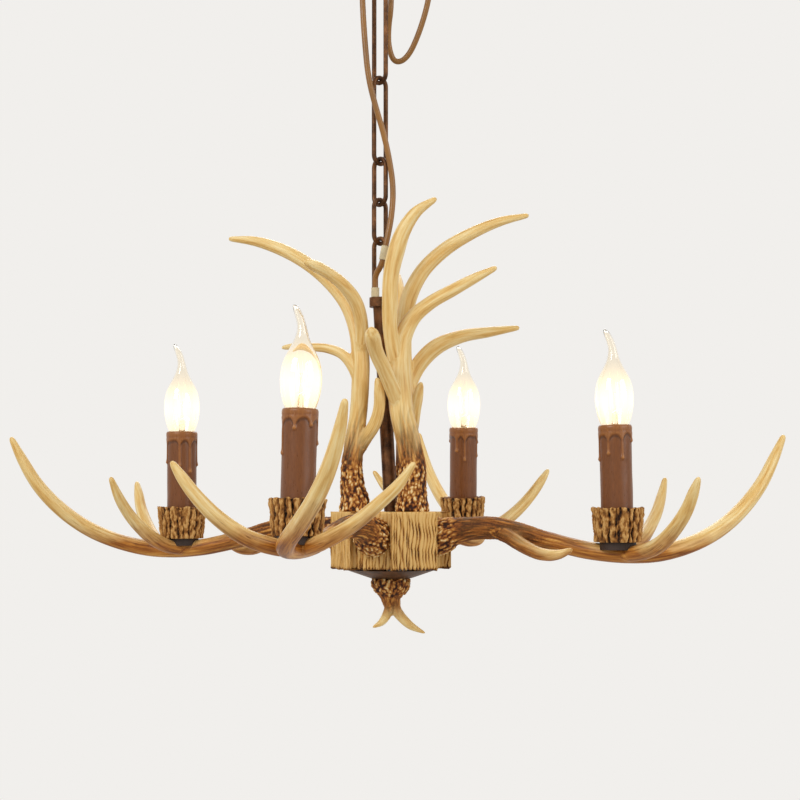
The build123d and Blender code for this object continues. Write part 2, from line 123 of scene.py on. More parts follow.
def makeObject(name, mesh, body, material=None):
    piece = bpy.data.objects.new(name, mesh)
    bpy.context.scene.collection.objects.link(piece)
    mesh.polygons.foreach_set("use_smooth", [True] * len(mesh.polygons))
    if material:
        mesh.materials.clear()
        mesh.materials.append(material)
    if body:
        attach(piece, body)
    return piece


def markPoints(piece, label, values):
    # one number for each point, for the material to read
    layer = piece.data.attributes.new(label, "FLOAT", "POINT")
    layer.data.foreach_set("value", np.array(values, np.float32))


def bakedMesh(piece, name):
    # the piece as its modifiers leave it, as a plain mesh, and the piece itself taken away
    bpy.context.view_layer.update()
    graph = bpy.context.evaluated_depsgraph_get()
    mesh = bpy.data.meshes.new_from_object(piece.evaluated_get(graph))
    mesh.name = name
    bpy.data.objects.remove(piece)
    return mesh


def shapedMesh(piece, tree, values, name):
    # the plain mesh that a tree makes of a piece, with its inputs set by their identifiers
    layer = piece.modifiers.new("shape", "NODES")
    layer.node_group = tree
    for item in tree.interface.items_tree:
        if item.name in values:
            layer[item.identifier] = values[item.name]
    return bakedMesh(piece, name)


def turned(axis, degrees):
    return Matrix.Rotation(math.radians(degrees), 4, axis)


def moved(x, y, z):
    return Matrix.Translation((x, y, z))


def fullTurn(count):
    return np.linspace(0, 2 * math.pi, count, endpoint=False)


def ringPoints(radius, z, angles):
    return [(radius * math.cos(a), radius * math.sin(a), z) for a in angles]


def anglesApart(angles, others):
    # how far each angle is from each of the others, the short way round
    return np.abs((angles[:, None] - others[None] + math.pi) % (2 * math.pi) - math.pi)


def gridFaces(rows, columns, start=0, flip=False):
    # quads of a closed band of rings
    faces = []
    for r in range(rows - 1):
        for c in range(columns):
            a = start + r * columns + c
            b = start + r * columns + (c + 1) % columns
            quad = (a, b, b + columns, a + columns)
            faces.append(quad[::-1] if flip else quad)
    return faces


def closedBand(rings, columns):
    # a band of rings whose last ring joins the first
    last = (rings - 1) * columns
    seam = [(last + i, last + (i + 1) % columns, (i + 1) % columns, i) for i in range(columns)]
    return gridFaces(rings, columns) + seam


def waves(x, seed):
    # smooth repeatable wobble, about -1 to 1, from five sines of unrelated lengths
    rng = np.random.default_rng(seed)
    total = 0
    for k in range(5):
        total = total + np.sin(x * rng.uniform(0.5, 2.2) * (1 + 0.6 * k) + rng.uniform(0, 6.28)) / (1 + 0.5 * k)
    return total / 2.2


# --- where the arms and candles stand
hubTop = Vector((10.5, 0, -631))
# each arm: direction, turn about its root, upward tilt, and the candle's lean inwards and sideways
armLayout = {"rootX": 46, "rootZ": -23, "reach": 219, "seatZ": -27, "leanHeight": 4,
             "arms": [(-20.7, 0, 0, 1.5, 0), (69.3, 0, 3.3, 0, 1.5),
                      (159.3, 2.6, 0, 0, 0), (-110.8, 0, 2.6, 0, -0.5)]}


def armPlace(direction, turnIn, tilt):
    root = moved(armLayout["rootX"], 0, armLayout["rootZ"])
    swung = moved(*hubTop) @ turned("Z", direction) @ root
    return swung @ turned("Y", -tilt) @ turned("Z", turnIn) @ root.inverted()


def seatPlace(direction, turnIn, tilt):
    return armPlace(direction, turnIn, tilt) @ moved(armLayout["reach"], 0, armLayout["seatZ"])


def candlePlace(direction, turnIn, tilt, inwards, sideways):
    lift = moved(0, 0, armLayout["leanHeight"])
    raised = seatPlace(direction, turnIn, tilt) @ lift
    return raised @ turned("X", sideways) @ turned("Y", -inwards) @ lift.inverted()


# --- materials
def movedBy(add, value, pattern, amount):
    # a value moved up and down by a pattern about its middle
    centred = add("ShaderNodeMath", {0: pattern, 1: 0.5}, operation="SUBTRACT")
    scaled = add("ShaderNodeMath", {0: centred, 1: amount}, operation="MULTIPLY")
    return add("ShaderNodeMath", {0: value, 1: scaled}, operation="ADD")


def dress(add, shader, colour, pattern, roughness, strength, distance):
    # a colour, with a sheen and a fine relief that follow one pattern
    sheen = add("ShaderNodeMapRange", {"Value": pattern, "From Min": 0.3, "From Max": 0.7,
                                       "To Min": roughness[0], "To Max": roughness[1]})
    bump = add("ShaderNodeBump", {"Height": pattern, "Strength": strength, "Distance": distance})
    feed(shader, {"Base Color": colour, "Roughness": sheen, "Normal": bump})


def antlerMaterial():
    # Shed antler: knobbled brown burr with pale pearls, grooved stem, beam polished by rubbing, ivory points
    material, add, shader = newMaterial("shed antler, rubbed and polished",
                                        {"IOR": 1.5, "Specular IOR Level": 0.25})
    grain = add("ShaderNodeAttribute", attribute_name="grain").outputs["Vector"]
    zone = add("ShaderNodeAttribute", attribute_name="zone").outputs["Vector"]
    relief = add("ShaderNodeAttribute", attribute_name="relief").outputs["Fac"]
    burr, ridge, tip = add("ShaderNodeSeparateXYZ", {0: zone}).outputs
    streak = add("ShaderNodeTexNoise", {"Vector": grain, "Scale": 0.33, "Detail": 5, "Roughness": 0.62})
    fine = add("ShaderNodeTexNoise", {"Vector": grain, "Scale": 1.1, "Detail": 3, "Roughness": 0.6})
    cloud = add("ShaderNodeTexNoise", {"Vector": placePattern(add), "Scale": 0.03, "Detail": 3})
    dash = add("ShaderNodeTexNoise", {"Vector": grain, "Scale": 0.8, "Detail": 2, "Roughness": 0.5})
    beam = add("ShaderNodeValToRGB", {"Fac": streak}, [(0.28, "#623310"), (0.42, "#96581f"), (0.55, "#bd7b32"),
                                                       (0.68, "#d59a49"), (0.8, "#e4b268")])
    point = add("ShaderNodeValToRGB", {"Fac": streak}, [(0.26, "#c48e48"), (0.42, "#e2b86e"), (0.60, "#f0d496"),
                                                        (0.75, "#f6e1ae")])
    # ivory takes over towards each tip, in drifts, and the same share carries painted top light on upper faces
    drift = movedBy(add, tip, cloud, 0.8)
    pale = add("ShaderNodeMapRange", {"Value": drift, "From Min": 0.12, "From Max": 0.62})
    rubbed = add("ShaderNodeMix", {0: pale, 6: beam, 7: point}, data_type="RGBA")
    # short brown stains, fewer where it is pale
    dashes = add("ShaderNodeMapRange", {"Value": dash, "From Min": 0.60, "From Max": 0.70})
    brown = add("ShaderNodeMapRange", {"Value": drift, "From Min": 0.85, "From Max": 0.25, "To Max": 0.75})
    stain = add("ShaderNodeMath", {0: dashes, 1: brown}, operation="MULTIPLY")
    polished = add("ShaderNodeMix", {0: stain, 6: rubbed, 7: toLinear("#6e3f1c")}, data_type="RGBA")
    # dark grooves along the stem
    groove = add("ShaderNodeValToRGB", {"Fac": relief}, [(0.10, "#40220c"), (0.34, "#8a4e1b"), (0.58, "#c08036"),
                                                         (0.82, "#dea95a"), (1.0, "#efcc8a")])
    grooved = add("ShaderNodeMath", {0: ridge, 1: 0.85}, operation="MULTIPLY")
    ridged = add("ShaderNodeMix", {0: grooved, 6: polished, 7: groove}, data_type="RGBA")
    # pale pearls on a dark burr
    flecks = movedBy(add, relief, fine, 0.35)
    pearls = add("ShaderNodeValToRGB", {"Fac": flecks}, [(0.13, "#321708"), (0.3, "#763d14"), (0.48, "#a96b2c"),
                                                         (0.66, "#d19a50"), (0.85, "#f1d8a2")])
    knobbled = add("ShaderNodeMath", {0: burr, 1: 1.0}, operation="MINIMUM")
    colour = add("ShaderNodeMix", {0: knobbled, 6: ridged, 7: pearls}, data_type="RGBA")
    carved = add("ShaderNodeMath", {0: burr, 1: ridge}, operation="MAXIMUM")
    matt = add("ShaderNodeMapRange", {"Value": carved, "To Min": 0.3, "To Max": 0.62})
    grit = add("ShaderNodeMath", {0: fine, 1: 0.12}, operation="MULTIPLY")
    rough = add("ShaderNodeMath", {0: matt, 1: grit}, operation="ADD")
    long = add("ShaderNodeMath", {0: streak, 1: 0.6}, operation="MULTIPLY")
    short = add("ShaderNodeMath", {0: fine, 1: 0.4}, operation="MULTIPLY")
    height = add("ShaderNodeMath", {0: long, 1: short}, operation="ADD")
    bump = add("ShaderNodeBump", {"Height": height, "Strength": 0.35, "Distance": 0.0006})
    feed(shader, {"Base Color": colour, "Roughness": rough, "Normal": bump})
    return material


def reliefMaterial(name, stops, rough, flecks, fleckColour, bumpStrength, gloss=0.2):
    # a surface whose colour follows how deep its grooves are
    material, add, shader = newMaterial(name, {"IOR": 1.5, "Specular IOR Level": gloss})
    relief = add("ShaderNodeAttribute", attribute_name="relief").outputs["Fac"]
    # the grit is drawn out along the grooves
    along = placePattern(add, (1000, 1000, 160))
    grit = add("ShaderNodeTexNoise", {"Vector": along, "Scale": 0.8, "Detail": 5, "Roughness": 0.7})
    stained = add("ShaderNodeValToRGB", {"Fac": movedBy(add, relief, grit, 0.45)}, stops)
    spot = add("ShaderNodeTexNoise", {"Vector": placePattern(add), "Scale": 0.5, "Detail": 4})
    spots = add("ShaderNodeMapRange", {"Value": spot, "From Min": 0.58, "From Max": 0.66, "To Max": flecks})
    colour = add("ShaderNodeMix", {0: spots, 6: stained, 7: toLinear(fleckColour)}, data_type="RGBA")
    dress(add, shader, colour, grit, (rough - 0.1, rough + 0.1), bumpStrength, 0.0005)
    return material


def agedBronze():
    # Steel with an antiqued bronze finish: dark brown and lighter in broad clouds, rusty bloom in patches
    material, add, shader = newMaterial("steel, antiqued bronze plate", {"Metallic": 0.85})
    where = placePattern(add)
    patch = add("ShaderNodeTexNoise", {"Vector": where, "Scale": 0.09, "Detail": 6, "Roughness": 0.65})
    speck = add("ShaderNodeTexNoise", {"Vector": where, "Scale": 0.9, "Detail": 3, "Roughness": 0.7})
    base = add("ShaderNodeValToRGB", {"Fac": patch}, [(0.32, "#3a281c"), (0.5, "#5c3f29"), (0.68, "#7d5536")])
    rust = add("ShaderNodeMapRange", {"Value": speck, "From Min": 0.56, "From Max": 0.66, "To Max": 0.7})
    colour = add("ShaderNodeMix", {0: rust, 6: base, 7: toLinear("#8a5228")}, data_type="RGBA")
    dress(add, shader, colour, speck, (0.36, 0.62), 0.25, 0.0004)
    return material


def plainFinish(name, colour, rough, metallic=0.0, variation=0.12, grain=1.0, bump=0.1):
    # moulded, plated or drawn stock: one colour with slight clouding and a fine surface
    material, add, shader = newMaterial(name, {"Metallic": metallic})
    where = placePattern(add)
    cloud = add("ShaderNodeTexNoise", {"Vector": where, "Scale": 0.05 * grain, "Detail": 4})
    fine = add("ShaderNodeTexNoise", {"Vector": where, "Scale": 1.5 * grain, "Detail": 3})
    plain = toLinear(colour)[:3]
    dark = tuple(c * (1 - variation) for c in plain) + (1.0,)
    light = tuple(min(1.0, c * (1 + variation)) for c in plain) + (1.0,)
    clouds = add("ShaderNodeMapRange", {"Value": cloud, "From Min": 0.35, "From Max": 0.65})
    tone = add("ShaderNodeMix", {0: clouds, 6: dark, 7: light}, data_type="RGBA")
    dress(add, shader, tone, fine, (rough - 0.05, rough + 0.06), bump, 0.0002)
    return material


antlerFinish = antlerMaterial()
# Cast resin block carved like antler: straw tan, dark stain left in fine upright grooves
hubFinish = reliefMaterial("cast resin, straw with stained grooves",
                           [(0.12, "#4e2a0e"), (0.42, "#8f5b26"), (0.68, "#c9954c"), (0.93, "#e2b872")],
                           0.5, 0.25, "#e8c68c", 0.4)
# Bark: grey-brown ridge tops, nearly black furrows
barkFinish = reliefMaterial("natural bark, oiled",
                            [(0.12, "#1c0e05"), (0.35, "#4b2b10"), (0.6, "#855525"), (0.83, "#b07c3f"),
                             (1.0, "#cfa162")],
                            0.7, 0.25, "#b8905c", 0.9)
bronzeFinish = agedBronze()
# Bright grey plate with soft reflections
zincFinish = plainFinish("mild steel, zinc plated", "#b4b5b3", 0.36, metallic=1.0, variation=0.08)
# Brass cap rolled from sheet: warm yellow, smooth and shiny
brassFinish = plainFinish("brass, rolled cap", "#c9a35c", 0.3, metallic=1.0, variation=0.08)
# Thermoplastic sleeve moulded like wax: chestnut, wiped lighter on the runs, with painted shade in the hollow under
# the collar's edge
waxFinish = reliefMaterial("moulded thermoplastic, chestnut satin",
                           [(0.1, "#331b0c"), (0.35, "#6a3c19"), (0.6, "#824c21"), (0.95, "#ac7035")],
                           0.34, 0.0, "#ac7035", 0.15, gloss=0.4)
# Enamel, thin and even, with a low sheen; its near-black brown is painted shade, copying the shade that falls under
# each cup
darkFinish = plainFinish("steel dish, enamel in painted shade", "#2f1c10", 0.6, variation=0.15)
# Pressed resin: nearly black, with a dull polish
bakeliteFinish = plainFinish("phenolic resin, black", "#17130f", 0.38, variation=0.1)
# Moulded polyamide: milky white, half matt
nylonFinish = plainFinish("polyamide, natural white", "#d8d5c8", 0.5, variation=0.05)
# Moulded rubber: dull black, no shine
rubberFinish = plainFinish("EPDM rubber, black", "#181818", 0.75, variation=0.1)
# Extruded sheath: golden brown with a soft shine
cordFinish = plainFinish("PVC sheath, golden brown", "#8f6128", 0.34, variation=0.15, grain=0.5)
# Woven sleeve: pale straw with a coarse, matt weave
shrinkFinish = plainFinish("woven glass sleeve, pale", "#cdbf9b", 0.7, variation=0.1, grain=2, bump=0.5)
# Soft insulation: off-white, waxy
leadFinish = plainFinish("silicone insulation, white", "#cfcdc6", 0.5, variation=0.05)
print("materials made")


# --- antlers
antlerSettings = {"voxel": 0.95, "sides": 24, "step": 1.0, "smoothing": 4, "roundEnd": (25, 50, 72),
                  "batch": 4000, "grainStretch": 0.07, "branchShift": 40, "rosetteReach": 3.5, "blend": 2.2}


def smoothPath(points, step):
    # a smooth curve through x, y, z, r points, sampled at even steps, with the distance run
    p = np.array(points, float)
    chord = np.concatenate([[0], np.cumsum(np.linalg.norm(np.diff(p[:, :3], axis=0), axis=1))])
    slope = np.gradient(p, chord, axis=0)
    count = max(int(chord[-1] / step), 4)
    s = np.linspace(0, chord[-1], count + 1)
    k = np.clip(np.searchsorted(chord, s, side="right") - 1, 0, len(chord) - 2)
    h = (chord[k + 1] - chord[k])[:, None]
    t = ((s - chord[k])[:, None]) / h
    value = ((2 * t**3 - 3 * t**2 + 1) * p[k] + (t**3 - 2 * t**2 + t) * h * slope[k]
             + (-2 * t**3 + 3 * t**2) * p[k + 1] + (t**3 - t**2) * h * slope[k + 1])
    return value, s


def pathFrames(centres):
    # directions along a path, and two directions square to it that turn as little as they can
    tangent = np.gradient(centres, axis=0)
    tangent /= np.linalg.norm(tangent, axis=1)[:, None]
    side = np.cross(tangent[0], (0.31, 0.2, 0.93) if abs(tangent[0][2]) < 0.9 else (1, 0, 0))
    sides = []
    for t in tangent:
        side = side - t * np.dot(side, t)
        side = side / np.linalg.norm(side)
        sides.append(side)
    sides = np.array(sides)
    return tangent, sides, np.cross(tangent, sides)


def tubeAlong(samples, count, flatRoot=True):
    # closed tube through x, y, z, r samples, with a rounded far end
    centres, radii = samples[:, :3], samples[:, 3]
    tangent, sideA, sideB = pathFrames(centres)
    if flatRoot:
        step = samples[2, :3] - samples[0, :3]
        axis = np.zeros(3)
        k = int(np.argmax(np.abs(step)))
        axis[k] = np.sign(step[k])
        for j in range(2):
            sideA[j] -= axis * np.dot(sideA[j], axis)
            sideA[j] /= np.linalg.norm(sideA[j])
            sideB[j] = np.cross(axis, sideA[j])
    rings = [(c, r, a, b) for c, r, a, b in zip(centres, radii, sideA, sideB)]
    for angle in antlerSettings["roundEnd"]:
        a = math.radians(angle)
        end = radii[-1]
        rings.append((centres[-1] + tangent[-1] * end * math.sin(a), end * math.cos(a), sideA[-1], sideB[-1]))
    theta = np.linspace(0, 2 * math.pi, count, endpoint=False)
    points = [c + r * (math.cos(t) * a + math.sin(t) * b) for c, r, a, b in rings for t in theta]
    faces = gridFaces(len(rings), count)
    points += [centres[0], centres[-1] + tangent[-1] * radii[-1]]
    last = (len(rings) - 1) * count
    for i in range(count):
        j = (i + 1) % count
        faces.append((j, i, len(points) - 2))
        faces.append((last + i, last + j, len(points) - 1))
    return points, faces


def reliefTree(finish):
    # pushes the skin of an antler out into pearls at the burr and into grooves along the stem
    tree, add, given = newShapeTree("antlerRelief", {
        "Pearl Size": ("Float", 4.2), "Pearl Height": ("Float", 1.5), "Groove Depth": ("Float", 1.5),
        "Streak Depth": ("Float", 0.3), "Seed": ("Float", 0.0)})
    grain = add("GeometryNodeInputNamedAttribute", {"Name": "grain"}, data_type="FLOAT_VECTOR")
    zone = add("GeometryNodeInputNamedAttribute", {"Name": "zone"}, data_type="FLOAT_VECTOR")
    burr, ridge, tip = add("ShaderNodeSeparateXYZ", {0: zone}).outputs
    # pearls: the domes of warped cells, closer along the stem than across it
    place = add("GeometryNodeInputPosition")
    inMm = add("ShaderNodeVectorMath", {0: place, "Scale": 1000}, operation="SCALE")
    warp = add("ShaderNodeTexNoise", {"Vector": inMm, "Scale": 0.25, "W": given["Seed"]},
               noise_dimensions="4D").outputs["Color"]
    squeezed = add("ShaderNodeVectorMath", {0: grain, 1: (1, 1, 8.5)}, operation="MULTIPLY")
    bent = add("ShaderNodeVectorMath", {0: warp, 1: (5, 5, 5), 2: squeezed}, operation="MULTIPLY_ADD")
    perPearl = add("ShaderNodeMath", {0: 1.0, 1: given["Pearl Size"]}, operation="DIVIDE")
    cells = add("ShaderNodeTexVoronoi", {"Vector": bent, "Scale": perPearl, "Smoothness": 0.12},
                voronoi_dimensions="3D", feature="SMOOTH_F1")
    wide = add("ShaderNodeMath", {0: cells, 1: 1.3}, operation="MULTIPLY")
    steep = add("ShaderNodeMath", {0: wide, 1: 1.3}, operation="POWER")
    pearl = add("ShaderNodeMath", {0: 1.0, 1: steep}, operation="SUBTRACT", use_clamp=True)
    # grooves: sharp where the noise crosses its middle, and soft streaks from the same noise
    noiseLines = add("ShaderNodeTexNoise", {"Vector": grain, "Scale": 0.28, "Detail": 4, "Roughness": 0.6,
                                            "W": given["Seed"]}, noise_dimensions="4D")
    centred = add("ShaderNodeMath", {0: noiseLines, 1: 0.5}, operation="SUBTRACT")
    apart = add("ShaderNodeMath", {0: centred}, operation="ABSOLUTE")
    sharp = add("ShaderNodeMath", {0: apart, 1: 5.0}, operation="MULTIPLY", use_clamp=True)
    soft = add("ShaderNodeMapRange", {"Value": noiseLines, "From Min": 0.3, "From Max": 0.7})
    notBurr = add("ShaderNodeMath", {0: 1.0, 1: burr}, operation="SUBTRACT")
    notTip = add("ShaderNodeMath", {0: 1.0, 1: tip}, operation="SUBTRACT")
    stem = add("ShaderNodeMath", {0: ridge, 1: notBurr}, operation="MULTIPLY")
    # each part: a pattern about its own zero level, its height, and where it lies
    parts = []
    for pattern, level, tall, share in ((pearl, 0.55, given["Pearl Height"], burr),
                                        (sharp, 0.8, given["Groove Depth"], stem),
                                        (soft, 0.6, given["Streak Depth"], notTip)):
        about = add("ShaderNodeMath", {0: pattern, 1: level}, operation="SUBTRACT")
        scaled = add("ShaderNodeMath", {0: about, 1: tall}, operation="MULTIPLY")
        parts.append(add("ShaderNodeMath", {0: scaled, 1: share}, operation="MULTIPLY"))
    carved = add("ShaderNodeMath", {0: parts[0], 1: parts[1]}, operation="ADD")
    whole = add("ShaderNodeMath", {0: carved, 1: parts[2]}, operation="ADD")
    height = add("ShaderNodeMath", {0: whole, 1: 0.001}, operation="MULTIPLY")
    outward = add("GeometryNodeInputNormal")
    lift = add("ShaderNodeVectorMath", {0: outward, "Scale": height}, operation="SCALE")
    shaped = add("GeometryNodeSetPosition", {"Geometry": given["Geometry"], "Offset": lift})
    # the material reads how high each point stands
    high = add("ShaderNodeMath", {0: pearl, 1: burr}, operation="MULTIPLY")
    low = add("ShaderNodeMath", {0: sharp, 1: notBurr}, operation="MULTIPLY")
    shown = add("ShaderNodeMath", {0: high, 1: low}, operation="ADD")
    kept = add("GeometryNodeStoreNamedAttribute", {"Geometry": shaped, "Name": "relief", "Value": shown},
               data_type="FLOAT", domain="POINT")
    endShapeTree(add, kept, finish)
    return tree


antlerRelief = reliefTree(antlerFinish)


def surfaceAttributes(mesh, paths, place, look):
    # for each point of the skin: where it lies on its branch, and how much of burr, groove and ivory it has, the ivory
    # raised on upper faces and lowered on under faces as painted light and shade
    s = antlerSettings
    count = len(mesh.vertices)
    flat = np.empty(count * 3)
    mesh.vertices.foreach_get("co", flat)
    back = np.array(place.inverted())
    spots = flat.reshape(-1, 3) * 1000 @ back[:3, :3].T + back[:3, 3]
    best = np.full(count, 1e9)
    grain = np.zeros((count, 3))
    blended = np.zeros((count, 3))
    weights = np.zeros(count)
    mainSamples, mainRun = paths[0]
    paleFrom, paleTo = look["pale"]
    for number, (samples, run) in enumerate(paths):
        tangent, sideA, sideB = pathFrames(samples[:, :3])
        # a tine takes over from the beam only as it comes out of it
        grown = samples[:, 3] * (1 if number == 0 else np.clip(run / (4 * samples[0, 3]), 0, 1))
        nearest = np.empty(count, int)
        gap = np.empty(count)
        for low in range(0, count, s["batch"]):
            part = spots[low:low + s["batch"]]
            away = np.linalg.norm(part[:, None] - samples[None, :, :3], axis=2)
            near = away.argmin(1)
            nearest[low:low + s["batch"]] = near
            gap[low:low + s["batch"]] = away.min(1) - grown[near]
        leaves = np.linalg.norm(mainSamples[:, :3] - samples[0, :3], axis=1).argmin()
        start = 0 if number == 0 else mainRun[leaves]
        off = spots - samples[nearest, :3]
        u = (off * sideA[nearest]).sum(1)
        v = (off * sideB[nearest]).sum(1)
        distance = start + run[nearest] + (off * tangent[nearest]).sum(1)
        # the grain is drawn out along a branch, and each branch has its own
        one = np.stack([u, v, distance * s["grainStretch"] + number * s["branchShift"]], 1)
        take = gap < best
        best[take] = gap[take]
        grain[take] = one[take]
        edge = 0.5 + 0.35 * waves(u * 0.35 + v * 0.5 + distance * 0.1, 3)
        burr = 1 - np.clip((distance - look["burr"]) / (look["burr"] * 0.35 + 6) + edge, 0, 1)
        burr = burr * (1 + look["rosette"] * np.exp(-distance / s["rosetteReach"]))
        ridge = 1 - np.clip((distance - look["ridge"]) / (look["ridge"] * 0.5 + 8) + edge, 0, 1)
        pale = np.clip((distance - paleFrom) / (paleTo - paleFrom), 0, 1)
        if number:
            atRoot = np.clip((start - paleFrom) / (paleTo - paleFrom), 0, 1)
            along = np.clip((distance - start - samples[0, 3]) / (look["tine"] * run[-1]), 0, 1)
            pale = (atRoot + (1 - atRoot) * along) * look["duller"].get(number, 1)
            ridge = ridge * (1 - along)
        near = np.exp(-np.clip(gap, -8, 30) / s["blend"])
        blended += near[:, None] * np.stack([burr, ridge, pale], 1)
        weights += near
    blended /= weights[:, None]
    up = np.empty(count * 3)
    mesh.vertex_normals.foreach_get("vector", up)
    # painted light and shade: the ivory share rises where the skin faces up and falls where it faces down, so tops
    # read paler and undersides browner
    blended[:, 2] = np.clip(blended[:, 2] + look["paintedTopLight"] * up[2::3], 0, 1)
    for name, values in (("grain", grain), ("zone", blended)):
        layer = mesh.attributes.new(name, "FLOAT_VECTOR", "POINT")
        layer.data.foreach_set("vector", values.astype(np.float32).ravel())


def makeAntler(name, branches, place, node, seed, look):
    points, faces, paths = [], [], []
    for number, branch in enumerate(branches):
        samples, run = smoothPath(branch, antlerSettings["step"])
        trimmed = samples[run <= run[-1] - samples[-1, 3] * 0.8]
        trimmed[-1, 3] = samples[-1, 3]
        tubePoints, tubeFaces = tubeAlong(trimmed, antlerSettings["sides"], number == 0)
        faces += [tuple(i + len(points) for i in f) for f in tubeFaces]
        points += tubePoints
        paths.append((samples, run))
    raw = makePiece(name + "Raw", points, faces, None, place)
    remesh = raw.modifiers.new("skin", "REMESH")
    remesh.mode = "VOXEL"
    remesh.voxel_size = antlerSettings["voxel"] * 0.001
    remesh.use_smooth_shade = True
    soften = raw.modifiers.new("soften", "SMOOTH")
    soften.factor = 0.5
    soften.iterations = antlerSettings["smoothing"]
    skin = bakedMesh(raw, name + "Skin")
    surfaceAttributes(skin, paths, place, look)
    rough = makeObject(name + "Rough", skin, None)
    reliefSizes = {"Pearl Size": look["pearlSize"], "Pearl Height": look["pearlHeight"], "Seed": float(seed)}
    done = shapedMesh(rough, antlerRelief, reliefSizes, name)
    piece = makeObject(name, done, "chandelier")
    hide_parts(node)
    print(name, len(done.polygons), "faces")


# a branch is a list of x, y, z and radius, and an antler's first branch is its beam
armBranches = [
    [(45.4, 0, -23, 18.8), (52, 0, -22, 17.5), (61, 0, -19, 14.2), (76, 0, -16, 12), (100, 0, -15, 11.2),
     (125, 0, -19, 10), (160, 0, -28, 8.8), (200, 0, -36, 8.2), (228, 1, -38, 8.2), (252, 5, -37, 8),
     (276, 18, -31, 7.6), (300, 39, -18, 7.4), (320, 61, 2, 7), (336, 79, 27, 6.2), (346, 90, 51, 5),
     (354, 97, 72, 2.6)],
    [(222, 0, -38, 7), (241, -10, -36, 7.3), (261, -26, -29, 7.2), (278, -42, -15, 6.6), (292, -56, 3, 5.8),
     (300, -66, 19, 4.6), (305, -72, 30, 2.4)],
    [(212, 0, -37, 6.6), (224, 15, -35, 6.8), (231, 38, -27, 6.8), (235, 60, -15, 6.2), (238, 79, -1, 5.6),
     (239, 96, 14, 4.7), (240, 110, 32, 2.4)],
    [(98, -1, -15, 8), (118, -10, -22, 7.6), (138, -20, -32, 6.6), (156, -28, -38, 5.8), (172, -33, -38, 4.6),
     (186, -35, -33, 2.2)],
]
crownBranches = {
    "Left": [
        [(-34, -8, 0.3, 15), (-34, -8, 8, 14), (-36, -8, 22, 12), (-37, -8, 44, 10.5), (-34, -8, 68, 9.5),
         (-31, -8, 91, 8.5), (-29, -7, 120, 8.5), (-29, -4, 148, 8.5), (-33, 2, 173, 7.5), (-42, 8, 197, 7),
         (-59, 14, 220, 7), (-83, 20, 240, 6.5), (-107, 24, 253, 6), (-131, 28, 261, 4.8), (-157, 31, 264, 2.4)],
        [(-29, -5, 150, 6), (-28, -16, 178, 6.5), (-33, -26, 196, 6.5), (-44, -38, 210, 6), (-60, -50, 221, 5.5),
         (-72, -60, 226, 5), (-79, -66, 228, 2.5)],
        [(-29, -8, 112, 5), (-35, -6, 134, 5.2), (-46, -2, 149, 5), (-60, 3, 155, 4.5), (-77, 8, 157, 4),
         (-92, 12, 158, 3.4), (-105, 15, 157, 2)],
        [(-34, -7, 52, 6.5), (-24, -14, 69, 6.5), (-15, -20, 83, 6), (-11, -24, 98, 5.5), (-11, -27, 113, 5),
         (-13, -28, 125, 2.5)],
    ],
    "Right": [
        [(20, -22, 0.3, 16), (20, -22, 8, 15), (20, -22, 22, 13.5), (20, -22, 44, 13), (16, -21, 67, 12),
         (10, -20, 94, 11.5), (8, -18, 119, 11), (8, -16, 143, 10), (11, -14, 164, 9), (21, -12, 183, 7.5),
         (37, -10, 197, 6.5), (58, -9, 209, 6), (80, -8, 221, 4.8), (100, -7, 231, 2.4)],
        [(8, -16, 124, 7), (2, -22, 151, 7), (-1, -27, 174, 7), (-1, -30, 197, 7.5), (0, -32, 220, 7.5),
         (5, -33, 243, 8), (12, -34, 262, 7), (23, -35, 278, 5.5), (42, -36, 291, 2.5)],
        [(10, -18, 90, 6.5), (2, -29, 112, 7), (-6, -42, 131, 7), (-14, -56, 148, 7), (-17, -68, 160, 7),
         (-18, -76, 166, 4.5)],
    ],
    "Back": [
        [(13, 29, 0.3, 14.5), (13, 29, 8, 13.5), (13, 29, 23, 11.5), (14, 29, 45, 10), (14, 30, 69, 9.5),
         (14, 31, 98, 9), (13, 32, 127, 8.5), (12, 33, 156, 8), (13, 34, 184, 8), (18, 34, 209, 8),
         (30, 33, 232, 7.5), (50, 32, 252, 7), (76, 30, 268, 6), (105, 28, 280, 4.6), (133, 26, 286, 2.4)],
        [(13, 32, 96, 7), (17, 36, 120, 7.5), (26, 39, 141, 8), (44, 41, 160, 8), (67, 42, 170, 6.5),
         (97, 42, 175, 5), (125, 41, 179, 2.4)],
        [(14, 28, 56, 6.5), (20, 22, 78, 6.3), (23, 19, 98, 6), (26, 17, 112, 5.2), (29, 16, 124, 2.5)],
        [(12, 33, 156, 6), (11, 48, 182, 6.5), (10, 64, 204, 6), (8, 84, 223, 5.5), (5, 104, 239, 4.2),
         (2, 120, 248, 2.2)],
    ],
}
finialBranches = [
    [(0, 0, -63.3, 18), (0, 0, -69, 19), (0, 0, -75, 16.5), (0, 0, -82, 10.5), (1, 0, -89, 8.5), (1, 0, -97, 7)],
    [(1, 0, -86, 6.5), (-3, -1, -96, 5), (-9, -2, -105, 3.5), (-18, -3, -110, 1)],
    [(1, 0, -86, 6.5), (8, 1, -98, 5), (18, 2, -108, 4), (33, 3, -116, 1)],
]
